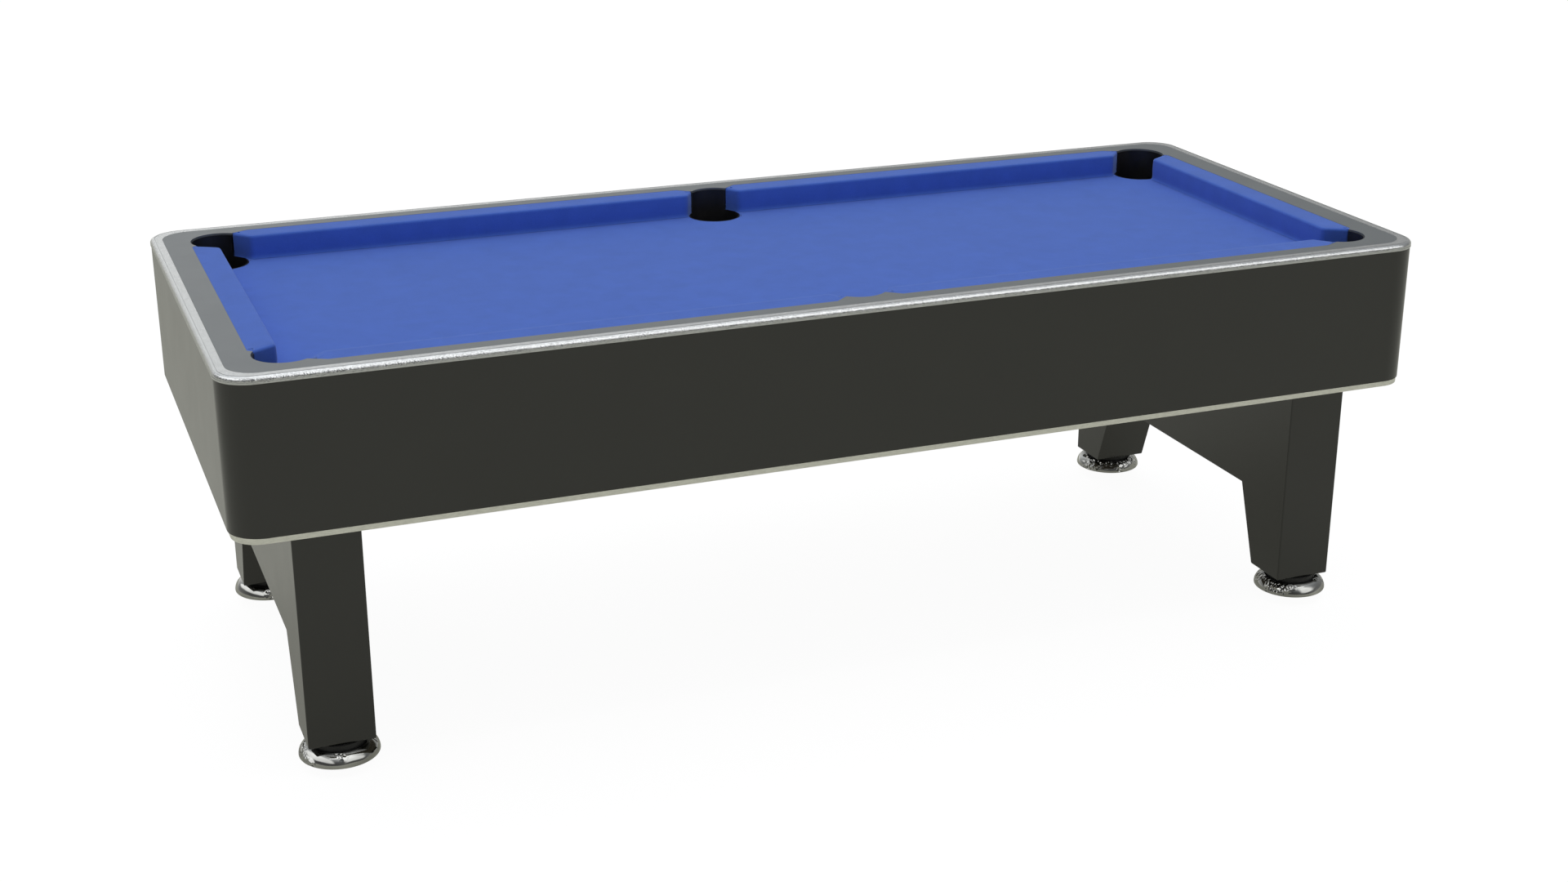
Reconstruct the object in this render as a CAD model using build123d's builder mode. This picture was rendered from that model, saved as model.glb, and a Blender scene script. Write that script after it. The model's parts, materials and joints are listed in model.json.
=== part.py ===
"""A six-pocket table: slate bed in a deep cabinet, two leg frames and four levelling feet.

Millimetres. X runs along the table, Y across it and Z up. The origin is on the floor under the
middle of the table. "Front" is the -Y side and "left" is the -X end.
"""

import os
from math import cos, radians, sin, tan

from build123d import *

# ---------------------------------------------------------------- driving dimensions
TABLE_LENGTH = 2474.0
TABLE_WIDTH = 1061.0
TABLE_HEIGHT = 800.0
CORNER_RADIUS = 66.0  # plan radius of the outer corners

# bright moulding round the top edge
MOULDING_WIDTH = 24.0
MOULDING_HEIGHT = 13.2
MOULDING_BEAD = 7.8  # radius of the rounded outer corner
GROOVE_FROM_EDGE = 8.6
GROOVE_WIDTH = 1.4
GROOVE_DEPTH = 1.0
FASCIA_GROOVE_HEIGHT = 3.8  # above the moulding's lower edge

# cabinet
PANEL_SETBACK = 1.5  # panel face behind the moulding's face
PANEL_THICKNESS = 25.0
CABINET_BOTTOM = 501.5
BASE_THICKNESS = 12.3
BOTTOM_SETBACK = 4.5  # bottom moulding behind the panel's face
BOTTOM_RADIUS = 55.0
BOTTOM_MOULDING_WIDTH = 20.0
FIT_GAP = 0.3

# rails, cushions and pockets
CAP_THICKNESS = 4.0
CAP_RADIUS = 56.0
RAIL_LINE_X = 1162.0  # back of the end cushions
RAIL_LINE_Y = 475.0  # back of the side cushions
NOSE_X = 1107.0
NOSE_Y = 419.0
NOSE_ROUND = 14.0
POCKET_X = 1103.0
POCKET_Y = 411.0
POCKET_RADIUS = 57.5
# tips of the cushions on the pocket circles, in degrees from the X axis
SIDE_TIP = 45.0
CORNER_TIP = 55.0
END_TIP = 30.0
# along the rail from a cushion's tip to where its back meets the rail line
HORN_SIDE = 28.0
HORN_CORNER = 34.0
HORN_END = 8.0
# faces of the cushions at the pocket mouths, in degrees from the rail
SIDE_MITRE = 57.0
CORNER_MITRE = 49.0
END_MITRE = 31.0

# bed
BED_HEIGHT = 750.0
CLOTH_THICKNESS = 1.0
SLATE_THICKNESS = 22.0
SLATE_HALF_X = 1206.0
SLATE_HALF_Y = 500.0
SLATE_CORNER = 56.0
SLATE_JOINT = 412.0
SLATE_GAP = 0.4
SLATE_POCKET = 60.0

# pocket liners
LINER_WALL = 2.2
LINER_BOTTOM = 640.0
LINER_FLANGE = 6.0
LINER_FLANGE_RADIUS = 80.0

# frame
SIDE_BEAM_Y = 299.0
SIDE_BEAM = (2280.0, 38.0, 60.0)
CROSS_BEAM_X = (-735.0, -367.0, 367.0, 735.0)
CROSS_BEAM = (45.0, 1007.0, 50.0)

# ball return
RUNWAY_START_X = -1160.0
RUNWAY_END_X = 1108.0
RUNWAY_START_Z = 545.0
RUNWAY_END_Z = 513.0
RUNWAY_WIDTH = 62.0
RUNWAY_WALL = 4.0
RUNWAY_DEPTH = 28.0
RUNWAY_FLOOR = 3.0
BRACKET_X = (-735.0, 0.0, 735.0)
BRACKET = (40.0, 60.0)
TRAY_START_X = 1112.0
TRAY_WIDTH = 890.0
TRAY_HEIGHT = 60.0
TRAY_LIP = 16.0
TRAY_WALL = 4.0
TRAY_CUT = 16.0  # length of the cuts through the tray's walls
WINDOW = (300.0, 84.0)
WINDOW_HEIGHT = 564.0  # middle of the ball window
WINDOW_RADIUS = 14.0

# legs
LEG_X = 1060.5
LEG_WIDTH = 128.0
LEG_OUTER_Y = 455.0
LEG_INNER_TOP_Y = 290.0
LEG_INNER_FOOT_Y = 351.0
LEG_BOTTOM = 36.0
APRON_BOTTOM = 212.0
APRON_BOARD = 18.0
LEG_EDGE = 3.0
LEG_PLATE = (104.0, 136.0, 6.0)
LEG_BOLT_SPACING = (70.0, 100.0)
LEG_BOLT_RADIUS = 5.0
LEG_BOLT_LENGTH = 90.0
BOLT_HEAD_HEIGHT = 6.5

# levelling feet
FOOT_X = 1060.0
FOOT_Y = 409.0
FOOT_RADIUS = 77.0
FOOT_TOP_RADIUS = 60.0
FOOT_HEIGHT = 24.5
FOOT_RIM = 5.0
FOOT_LIP = 4.0  # flat ring round the top
FOOT_EDGE = 2.5  # rounded lower edge
FOOT_SHOULDER = (4.6, 16.0)  # in from the rim and up from the floor, half way up the dome
FOOT_SOCKET_DEPTH = 9.0
STUD_RADIUS = 8.0
STUD_TOP = 150.0
STUD_TRAVEL = 20.0
RUNNING_FIT = 0.05
COLLAR_RADIUS = 52.0
INSERT_RADIUS = 14.0
INSERT_LENGTH = 45.0
INSERT_FLANGE = 3.0

# fasteners
SLATE_SCREW_RADIUS = 3.0
SLATE_SCREW_LENGTH = 60.0
SLATE_SCREW_X = (-1040.0, -735.0, -480.0, -344.0, 0.0, 344.0, 480.0, 735.0, 1040.0)
RAIL_BOLT_RADIUS = 4.0
RAIL_BOLT_LENGTH = 50.0
RAIL_BOLT_SIDE_X = (-920.0, -551.0, -182.0, 182.0, 551.0, 920.0)
RAIL_BOLT_END_Y = (-250.0, 0.0, 250.0)
HEAD_RATIO = 1.8
HOLE_CLEARANCE = 0.4

# ---------------------------------------------------------------- derived sizes
HALF_L = TABLE_LENGTH / 2
HALF_W = TABLE_WIDTH / 2
MOULDING_BOTTOM = TABLE_HEIGHT - MOULDING_HEIGHT
PANEL_HALF_L = HALF_L - PANEL_SETBACK
PANEL_HALF_W = HALF_W - PANEL_SETBACK
PANEL_RADIUS = CORNER_RADIUS - PANEL_SETBACK
INSIDE_HALF_L = PANEL_HALF_L - PANEL_THICKNESS
INSIDE_HALF_W = PANEL_HALF_W - PANEL_THICKNESS
PANEL_HEIGHT = MOULDING_BOTTOM - CABINET_BOTTOM
BASE_BOTTOM = CABINET_BOTTOM - BASE_THICKNESS
BOTTOM_HALF_L = PANEL_HALF_L - BOTTOM_SETBACK
BOTTOM_HALF_W = PANEL_HALF_W - BOTTOM_SETBACK
CAP_HALF_L = HALF_L - MOULDING_WIDTH
CAP_HALF_W = HALF_W - MOULDING_WIDTH
CAP_BOTTOM = TABLE_HEIGHT - CAP_THICKNESS
SLATE_TOP = BED_HEIGHT - CLOTH_THICKNESS
SLATE_BOTTOM = SLATE_TOP - SLATE_THICKNESS
SIDE_BEAM_BOTTOM = SLATE_BOTTOM - SIDE_BEAM[2]
CROSS_BEAM_BOTTOM = SIDE_BEAM_BOTTOM - CROSS_BEAM[2]
CUSHION_TOP = TABLE_HEIGHT - FIT_GAP
CUSHION_BOTTOM = BED_HEIGHT + FIT_GAP
RAIL_BOLT_SIDE_Y = (RAIL_LINE_Y + INSIDE_HALF_W) / 2
RAIL_BOLT_END_X = (RAIL_LINE_X + INSIDE_HALF_L) / 2
SIDES = (("front", -1), ("rear", 1))
ENDS = (("left", -1), ("right", 1))

os.makedirs("parts", exist_ok=True)


def save(piece, name):
    """Label a finished piece and write it."""
    piece.part.label = name
    export_step(piece.part, f"parts/{name}.step")


# ---------------------------------------------------------------- plan outlines
def long_cushion_outline(end, side):
    """Plan corners of the cushion between a side pocket and a corner pocket."""
    near_x = POCKET_RADIUS * cos(radians(SIDE_TIP))
    near_y = POCKET_Y + POCKET_RADIUS * sin(radians(SIDE_TIP))
    far_x = POCKET_X - POCKET_RADIUS * cos(radians(CORNER_TIP))
    far_y = POCKET_Y + POCKET_RADIUS * sin(radians(CORNER_TIP))
    points = (
        (near_x + HORN_SIDE, RAIL_LINE_Y),
        (near_x, near_y),
        (near_x + (near_y - NOSE_Y) / tan(radians(SIDE_MITRE)), NOSE_Y),
        (far_x - (far_y - NOSE_Y) / tan(radians(CORNER_MITRE)), NOSE_Y),
        (far_x, far_y),
        (far_x - HORN_CORNER, RAIL_LINE_Y),
    )
    return [(end * x, side * y) for x, y in points]


def end_cushion_outline(end):
    """Plan corners of the cushion between the two corner pockets of one end."""
    tip_x = POCKET_X + POCKET_RADIUS * cos(radians(END_TIP))
    tip_y = POCKET_Y - POCKET_RADIUS * sin(radians(END_TIP))
    nose_y = tip_y - (tip_x - NOSE_X) * tan(radians(END_MITRE))
    half = ((RAIL_LINE_X, tip_y - HORN_END), (tip_x, tip_y), (NOSE_X, nose_y))
    lower = [(end * x, -y) for x, y in half]
    upper = [(end * x, y) for x, y in reversed(half)]
    return lower + upper


def playing_outline():
    """Plan corners of the open area in front of the cushions, pocket mouths included."""
    quarter = long_cushion_outline(1, 1)[1:5] + end_cushion_outline(1)[4:2:-1]
    outline = list(quarter)
    outline += [(x, -y) for x, y in reversed(quarter)]
    outline += [(-x, -y) for x, y in quarter]
    outline += [(-x, y) for x, y in reversed(quarter)]
    return outline


POCKETS = [
    (f"{side}_{place}", x, sy * POCKET_Y)
    for side, sy in SIDES
    for place, x in (("left", -POCKET_X), ("middle", 0.0), ("right", POCKET_X))
]
CUSHIONS = [
    (f"{side}_{end}", long_cushion_outline(sx, sy))
    for side, sy in SIDES
    for end, sx in ENDS
] + [(f"{end}_end", end_cushion_outline(sx)) for end, sx in ENDS]


# ---------------------------------------------------------------- top edge moulding
with BuildPart() as edge_moulding:
    with BuildSketch(Plane.XY.offset(MOULDING_BOTTOM)):
        RectangleRounded(TABLE_LENGTH, TABLE_WIDTH, CORNER_RADIUS)
    extrude(amount=MOULDING_HEIGHT)
    top_rim = edge_moulding.faces().sort_by(Axis.Z)[-1].edges()
    fillet(top_rim, MOULDING_BEAD)
    bottom_rim = edge_moulding.faces().sort_by(Axis.Z)[0].edges()
    fillet(bottom_rim, PANEL_SETBACK / 2)
    with BuildSketch(Plane.XY.offset(MOULDING_BOTTOM)):
        RectangleRounded(2 * CAP_HALF_L, 2 * CAP_HALF_W, CAP_RADIUS)
    extrude(amount=MOULDING_HEIGHT, mode=Mode.SUBTRACT)
    with BuildSketch(Plane.XY.offset(TABLE_HEIGHT - GROOVE_DEPTH)):
        RectangleRounded(
            TABLE_LENGTH - 2 * GROOVE_FROM_EDGE,
            TABLE_WIDTH - 2 * GROOVE_FROM_EDGE,
            CORNER_RADIUS - GROOVE_FROM_EDGE,
        )
        inner = GROOVE_FROM_EDGE + GROOVE_WIDTH
        RectangleRounded(
            TABLE_LENGTH - 2 * inner,
            TABLE_WIDTH - 2 * inner,
            CORNER_RADIUS - inner,
            mode=Mode.SUBTRACT,
        )
    extrude(amount=GROOVE_DEPTH, mode=Mode.SUBTRACT)
    with BuildSketch(Plane.XY.offset(MOULDING_BOTTOM + FASCIA_GROOVE_HEIGHT)):
        Rectangle(TABLE_LENGTH + FIT_GAP, TABLE_WIDTH + FIT_GAP)
        RectangleRounded(
            TABLE_LENGTH - 2 * GROOVE_DEPTH,
            TABLE_WIDTH - 2 * GROOVE_DEPTH,
            CORNER_RADIUS - GROOVE_DEPTH,
            mode=Mode.SUBTRACT,
        )
    extrude(amount=GROOVE_DEPTH, mode=Mode.SUBTRACT)
save(edge_moulding, "edge_moulding")

# ---------------------------------------------------------------- rail cap
# One sheet round the whole table. Its inner edge runs behind the cushions and round the pockets.
with BuildPart() as rail_cap:
    with BuildSketch(Plane.XY.offset(CAP_BOTTOM)):
        RectangleRounded(
            2 * (CAP_HALF_L - FIT_GAP), 2 * (CAP_HALF_W - FIT_GAP), CAP_RADIUS - FIT_GAP
        )
        for outline in [playing_outline()] + [outline for _, outline in CUSHIONS]:
            with BuildLine():
                Polyline(*outline, close=True)
            make_face(mode=Mode.SUBTRACT)
        for _, x, y in POCKETS:
            with Locations((x, y)):
                Circle(POCKET_RADIUS, mode=Mode.SUBTRACT)
    extrude(amount=CAP_THICKNESS)
save(rail_cap, "rail_cap")

# ---------------------------------------------------------------- cushions
for name, outline in CUSHIONS:
    with BuildPart() as cushion:
        with BuildSketch(Plane.XY.offset(CUSHION_BOTTOM)):
            with BuildLine():
                Polyline(*outline, close=True)
            make_face()
            offset(amount=-FIT_GAP, kind=Kind.INTERSECTION)
            nose_corners = [
                v
                for v in vertices()
                if abs(v.X) < NOSE_X + 2 * FIT_GAP and abs(v.Y) < NOSE_Y + 2 * FIT_GAP
            ]
            fillet(nose_corners, NOSE_ROUND)
        extrude(amount=CUSHION_TOP - CUSHION_BOTTOM)
    save(cushion, f"cushion_{name}")

# ---------------------------------------------------------------- rail cores
for side, sy in SIDES:
    for end, sx in ENDS:
        outline = long_cushion_outline(sx, sy)
        x_near, x_far = outline[0][0], outline[-1][0]
        with BuildPart() as rail_core:
            with Locations(
                (
                    (x_near + x_far) / 2,
                    sy * (RAIL_LINE_Y + INSIDE_HALF_W) / 2,
                    (BED_HEIGHT + CAP_BOTTOM) / 2,
                )
            ):
                Box(
                    abs(x_far - x_near),
                    INSIDE_HALF_W - RAIL_LINE_Y - 2 * FIT_GAP,
                    CAP_BOTTOM - BED_HEIGHT,
                )
            bolts = [x for x in RAIL_BOLT_SIDE_X if x * sx > 0]
            with Locations(*[(x, sy * RAIL_BOLT_SIDE_Y, BED_HEIGHT) for x in bolts]):
                Cylinder(
                    RAIL_BOLT_RADIUS + RUNNING_FIT,
                    RAIL_BOLT_LENGTH,
                    mode=Mode.SUBTRACT,
                )
        save(rail_core, f"rail_core_{side}_{end}")

for end, sx in ENDS:
    half_y = end_cushion_outline(sx)[-1][1]
    with BuildPart() as rail_core:
        with Locations((sx * RAIL_BOLT_END_X, 0, (BED_HEIGHT + CAP_BOTTOM) / 2)):
            Box(
                INSIDE_HALF_L - RAIL_LINE_X - 2 * FIT_GAP,
                2 * half_y,
                CAP_BOTTOM - BED_HEIGHT,
            )
        with Locations(*[(sx * RAIL_BOLT_END_X, y, BED_HEIGHT) for y in RAIL_BOLT_END_Y]):
            Cylinder(
                RAIL_BOLT_RADIUS + RUNNING_FIT, RAIL_BOLT_LENGTH, mode=Mode.SUBTRACT
            )
    save(rail_core, f"rail_core_{end}_end")

# ---------------------------------------------------------------- pocket liners
# A sleeve through the slate. Above the bed only its back stands, with a flange under the cap.
for name, x, y in POCKETS:
    with BuildPart() as liner:
        with BuildSketch(Plane.XY.offset(LINER_BOTTOM)):
            with Locations((x, y)):
                Circle(POCKET_RADIUS)
        extrude(amount=CAP_BOTTOM - LINER_BOTTOM)
        with BuildSketch(Plane.XY.offset(CAP_BOTTOM - LINER_FLANGE)):
            with Locations((x, y)):
                Circle(LINER_FLANGE_RADIUS)
            Rectangle(
                2 * (INSIDE_HALF_L - FIT_GAP),
                2 * (INSIDE_HALF_W - FIT_GAP),
                mode=Mode.INTERSECT,
            )
        extrude(amount=LINER_FLANGE)
        with BuildSketch(Plane.XY.offset(LINER_BOTTOM)):
            with Locations((x, y)):
                Circle(POCKET_RADIUS - LINER_WALL)
        extrude(amount=CAP_BOTTOM - LINER_BOTTOM, mode=Mode.SUBTRACT)
        with BuildSketch(Plane.XY.offset(BED_HEIGHT)):
            for outline in [playing_outline()] + [outline for _, outline in CUSHIONS]:
                with BuildLine():
                    Polyline(*outline, close=True)
                make_face()
            side_core_y = INSIDE_HALF_W - RAIL_LINE_Y
            side_core_x = abs(CUSHIONS[0][1][-1][0] - CUSHIONS[0][1][0][0])
            side_core_mid = abs(CUSHIONS[0][1][-1][0] + CUSHIONS[0][1][0][0]) / 2
            with GridLocations(2 * side_core_mid, 2 * RAIL_BOLT_SIDE_Y, 2, 2):
                Rectangle(side_core_x + 2 * FIT_GAP, side_core_y)
            with GridLocations(2 * RAIL_BOLT_END_X, 0, 2, 1):
                Rectangle(
                    INSIDE_HALF_L - RAIL_LINE_X,
                    2 * (end_cushion_outline(1)[-1][1] + FIT_GAP),
                )
        extrude(amount=CAP_BOTTOM - BED_HEIGHT, mode=Mode.SUBTRACT)
    save(liner, f"pocket_liner_{name}")

# ---------------------------------------------------------------- cloth and slates
with BuildPart() as bed_cloth:
    with BuildSketch(Plane.XY.offset(SLATE_TOP)):
        RectangleRounded(2 * SLATE_HALF_X, 2 * SLATE_HALF_Y, SLATE_CORNER)
        with Locations(*[(x, y) for _, x, y in POCKETS]):
            Circle(POCKET_RADIUS + FIT_GAP, mode=Mode.SUBTRACT)
        for sy in (-1, 1):
            with Locations(*[(x, sy * RAIL_BOLT_SIDE_Y) for x in RAIL_BOLT_SIDE_X]):
                Circle(RAIL_BOLT_RADIUS + HOLE_CLEARANCE, mode=Mode.SUBTRACT)
        for sx in (-1, 1):
            with Locations(*[(sx * RAIL_BOLT_END_X, y) for y in RAIL_BOLT_END_Y]):
                Circle(RAIL_BOLT_RADIUS + HOLE_CLEARANCE, mode=Mode.SUBTRACT)
    extrude(amount=CLOTH_THICKNESS)
save(bed_cloth, "bed_cloth")

SLATES = (
    ("slate_left", -SLATE_HALF_X, -SLATE_JOINT - SLATE_GAP / 2),
    ("slate_middle", -SLATE_JOINT + SLATE_GAP / 2, SLATE_JOINT - SLATE_GAP / 2),
    ("slate_right", SLATE_JOINT + SLATE_GAP / 2, SLATE_HALF_X),
)
for name, x_low, x_high in SLATES:
    with BuildPart() as slate:
        with BuildSketch(Plane.XY.offset(SLATE_BOTTOM)):
            with Locations(((x_low + x_high) / 2, 0)):
                Rectangle(x_high - x_low, 2 * SLATE_HALF_Y)
            RectangleRounded(
                2 * SLATE_HALF_X, 2 * SLATE_HALF_Y, SLATE_CORNER, mode=Mode.INTERSECT
            )
            with Locations(*[(x, y) for _, x, y in POCKETS]):
                Circle(SLATE_POCKET, mode=Mode.SUBTRACT)
            screws = [x for x in SLATE_SCREW_X if x_low < x < x_high]
            for sy in (-1, 1):
                with Locations(*[(x, sy * SIDE_BEAM_Y) for x in screws]):
                    Circle(SLATE_SCREW_RADIUS + HOLE_CLEARANCE, mode=Mode.SUBTRACT)
                bolts = [x for x in RAIL_BOLT_SIDE_X if x_low < x < x_high]
                with Locations(*[(x, sy * RAIL_BOLT_SIDE_Y) for x in bolts]):
                    Circle(RAIL_BOLT_RADIUS + HOLE_CLEARANCE, mode=Mode.SUBTRACT)
            for sx in (-1, 1):
                with Locations(*[(sx * RAIL_BOLT_END_X, y) for y in RAIL_BOLT_END_Y]):
                    Circle(RAIL_BOLT_RADIUS + HOLE_CLEARANCE, mode=Mode.SUBTRACT)
        extrude(amount=SLATE_THICKNESS)
        head = SLATE_SCREW_RADIUS * HEAD_RATIO
        with Locations(
            *[
                (x, sy * SIDE_BEAM_Y, SLATE_TOP - SLATE_SCREW_RADIUS / 2)
                for x in screws
                for sy in (-1, 1)
            ]
        ):
            Cylinder(head + HOLE_CLEARANCE, SLATE_SCREW_RADIUS, mode=Mode.SUBTRACT)
    save(slate, name)

with BuildPart() as slate_screws:
    for sy in (-1, 1):
        for x in SLATE_SCREW_X:
            with Locations((x, sy * SIDE_BEAM_Y, SLATE_TOP - SLATE_SCREW_LENGTH / 2)):
                Cylinder(SLATE_SCREW_RADIUS, SLATE_SCREW_LENGTH)
            with Locations((x, sy * SIDE_BEAM_Y, SLATE_TOP - SLATE_SCREW_RADIUS / 2)):
                Cylinder(SLATE_SCREW_RADIUS * HEAD_RATIO, SLATE_SCREW_RADIUS)
save(slate_screws, "slate_screws")

# ---------------------------------------------------------------- bed frame
for side, sy in SIDES:
    with BuildPart() as side_beam:
        with Locations((0, sy * SIDE_BEAM_Y, SLATE_BOTTOM - SIDE_BEAM[2] / 2)):
            Box(*SIDE_BEAM)
        with Locations(*[(x, sy * SIDE_BEAM_Y, SLATE_BOTTOM) for x in SLATE_SCREW_X]):
            Cylinder(
                SLATE_SCREW_RADIUS + RUNNING_FIT,
                2 * (SLATE_SCREW_LENGTH - SLATE_THICKNESS + FIT_GAP),
                mode=Mode.SUBTRACT,
            )
    save(side_beam, f"side_beam_{side}")

with BuildPart() as cross_beams:
    with Locations(*[(x, 0, CROSS_BEAM_BOTTOM + CROSS_BEAM[2] / 2) for x in CROSS_BEAM_X]):
        Box(*CROSS_BEAM)
save(cross_beams, "cross_beams")

with BuildPart() as rail_bolts:
    bolt_top = SLATE_BOTTOM + RAIL_BOLT_LENGTH - BOLT_HEAD_HEIGHT
    spots = [(x, sy * RAIL_BOLT_SIDE_Y) for sy in (-1, 1) for x in RAIL_BOLT_SIDE_X]
    spots += [(sx * RAIL_BOLT_END_X, y) for sx in (-1, 1) for y in RAIL_BOLT_END_Y]
    for x, y in spots:
        with BuildSketch(Plane.XY.offset(SLATE_BOTTOM - BOLT_HEAD_HEIGHT)):
            with Locations((x, y)):
                RegularPolygon(RAIL_BOLT_RADIUS * HEAD_RATIO, 6)
        extrude(amount=BOLT_HEAD_HEIGHT)
        with BuildSketch(Plane.XY.offset(SLATE_BOTTOM)):
            with Locations((x, y)):
                Circle(RAIL_BOLT_RADIUS)
        extrude(amount=RAIL_BOLT_LENGTH - BOLT_HEAD_HEIGHT)
save(rail_bolts, "rail_bolts")

# ---------------------------------------------------------------- cabinet panels
STRAIGHT_X = PANEL_HALF_L - PANEL_RADIUS
STRAIGHT_Y = PANEL_HALF_W - PANEL_RADIUS
PANEL_MID_Z = (CABINET_BOTTOM + MOULDING_BOTTOM) / 2
for side, sy in SIDES:
    with BuildPart() as panel:
        with Locations((0, sy * (PANEL_HALF_W - PANEL_THICKNESS / 2), PANEL_MID_Z)):
            Box(2 * STRAIGHT_X, PANEL_THICKNESS, PANEL_HEIGHT)
    save(panel, f"{side}_panel")

for end, sx in ENDS:
    with BuildPart() as panel:
        with Locations((sx * (PANEL_HALF_L - PANEL_THICKNESS / 2), 0, PANEL_MID_Z)):
            Box(PANEL_THICKNESS, 2 * STRAIGHT_Y, PANEL_HEIGHT)
        if end == "right":
            with BuildSketch(Plane.YZ.offset(PANEL_HALF_L)):
                with Locations((0, WINDOW_HEIGHT)):
                    RectangleRounded(*WINDOW, WINDOW_RADIUS)
            extrude(amount=-PANEL_THICKNESS, mode=Mode.SUBTRACT)
    save(panel, f"{end}_end_panel")

for side, sy in SIDES:
    for end, sx in ENDS:
        with BuildPart() as corner_panel:
            with BuildSketch(Plane.XY.offset(CABINET_BOTTOM)):
                with Locations((sx * STRAIGHT_X, sy * STRAIGHT_Y)):
                    Circle(PANEL_RADIUS)
                    Circle(PANEL_RADIUS - PANEL_THICKNESS, mode=Mode.SUBTRACT)
                with Locations(
                    (
                        sx * (STRAIGHT_X + PANEL_RADIUS / 2),
                        sy * (STRAIGHT_Y + PANEL_RADIUS / 2),
                    )
                ):
                    Rectangle(PANEL_RADIUS, PANEL_RADIUS, mode=Mode.INTERSECT)
            extrude(amount=PANEL_HEIGHT)
        save(corner_panel, f"corner_panel_{side}_{end}")

# ---------------------------------------------------------------- base
LEG_MID_Y = (LEG_OUTER_Y + LEG_INNER_TOP_Y) / 2
LEG_BOLTS = [
    (sx * LEG_X + dx * LEG_BOLT_SPACING[0] / 2, sy * LEG_MID_Y + dy * LEG_BOLT_SPACING[1] / 2)
    for sx in (-1, 1)
    for sy in (-1, 1)
    for dx in (-1, 1)
    for dy in (-1, 1)
]
BASE_HALF_L = BOTTOM_HALF_L - BOTTOM_MOULDING_WIDTH
BASE_HALF_W = BOTTOM_HALF_W - BOTTOM_MOULDING_WIDTH
BASE_RADIUS = BOTTOM_RADIUS - BOTTOM_MOULDING_WIDTH

with BuildPart() as bottom_moulding:
    with BuildSketch(Plane.XY.offset(BASE_BOTTOM)):
        RectangleRounded(2 * BOTTOM_HALF_L, 2 * BOTTOM_HALF_W, BOTTOM_RADIUS)
        RectangleRounded(
            2 * BASE_HALF_L, 2 * BASE_HALF_W, BASE_RADIUS, mode=Mode.SUBTRACT
        )
    extrude(amount=BASE_THICKNESS)
save(bottom_moulding, "bottom_moulding")

with BuildPart() as base_board:
    with BuildSketch(Plane.XY.offset(BASE_BOTTOM)):
        RectangleRounded(
            2 * (BASE_HALF_L - FIT_GAP), 2 * (BASE_HALF_W - FIT_GAP), BASE_RADIUS
        )
        with Locations(*LEG_BOLTS):
            Circle(LEG_BOLT_RADIUS + HOLE_CLEARANCE, mode=Mode.SUBTRACT)
    extrude(amount=BASE_THICKNESS)
save(base_board, "base_board")

# ---------------------------------------------------------------- ball return
RUNWAY_RUN = RUNWAY_END_X - RUNWAY_START_X
RUNWAY_FALL = RUNWAY_START_Z - RUNWAY_END_Z
for side, sy in SIDES:
    with BuildPart() as runway:
        with BuildSketch(Plane.YZ.offset(RUNWAY_START_X)):
            with Locations((sy * POCKET_Y, RUNWAY_START_Z)):
                Rectangle(
                    RUNWAY_WIDTH + 2 * RUNWAY_WALL,
                    2 * RUNWAY_DEPTH,
                )
            with Locations((sy * POCKET_Y, RUNWAY_START_Z + RUNWAY_DEPTH / 2)):
                Rectangle(RUNWAY_WIDTH, RUNWAY_DEPTH, mode=Mode.SUBTRACT)
            low = RUNWAY_DEPTH - RUNWAY_FLOOR
            with Locations(
                (sy * POCKET_Y, RUNWAY_START_Z - RUNWAY_FLOOR - low / 2)
            ):
                Rectangle(RUNWAY_WIDTH + 2 * RUNWAY_WALL, low, mode=Mode.SUBTRACT)
        extrude(
            amount=(RUNWAY_RUN**2 + RUNWAY_FALL**2) ** 0.5,
            dir=(RUNWAY_RUN, 0, -RUNWAY_FALL),
        )
    save(runway, f"ball_runway_{side}")

with BuildPart() as runway_brackets:
    for x in BRACKET_X:
        low_end = x + BRACKET[0] / 2 - RUNWAY_START_X
        top = RUNWAY_START_Z - RUNWAY_FALL * low_end / RUNWAY_RUN - RUNWAY_FLOOR - RUNNING_FIT
        height = top - CABINET_BOTTOM
        with Locations(
            *[(x, sy * POCKET_Y, CABINET_BOTTOM + height / 2) for sy in (-1, 1)]
        ):
            Box(BRACKET[0], BRACKET[1], height)
save(runway_brackets, "runway_brackets")

with BuildPart() as ball_tray:
    tray_end = INSIDE_HALF_L - FIT_GAP
    tray_length = tray_end - TRAY_START_X
    tray_mid = (TRAY_START_X + tray_end) / 2
    with Locations((tray_mid, 0, CABINET_BOTTOM + TRAY_HEIGHT / 2)):
        Box(tray_length, TRAY_WIDTH, TRAY_HEIGHT)
    with Locations((tray_mid, 0, CABINET_BOTTOM + TRAY_WALL + TRAY_HEIGHT / 2)):
        Box(
            tray_length - 2 * TRAY_WALL,
            TRAY_WIDTH - 2 * TRAY_WALL,
            TRAY_HEIGHT,
            mode=Mode.SUBTRACT,
        )
    # low lip at the window, and low inner wall where the runways empty
    with Locations((tray_end, 0, CABINET_BOTTOM + TRAY_LIP + TRAY_HEIGHT / 2)):
        Box(TRAY_CUT, WINDOW[0], TRAY_HEIGHT, mode=Mode.SUBTRACT)
    mouth = RUNWAY_END_Z - RUNWAY_FLOOR - CABINET_BOTTOM - 2 * HOLE_CLEARANCE
    with Locations(
        *[
            (TRAY_START_X, sy * POCKET_Y, CABINET_BOTTOM + mouth + TRAY_HEIGHT / 2)
            for sy in (-1, 1)
        ]
    ):
        Box(
            TRAY_CUT,
            TRAY_WIDTH - 2 * POCKET_Y,
            TRAY_HEIGHT,
            mode=Mode.SUBTRACT,
        )
save(ball_tray, "ball_tray")

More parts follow.
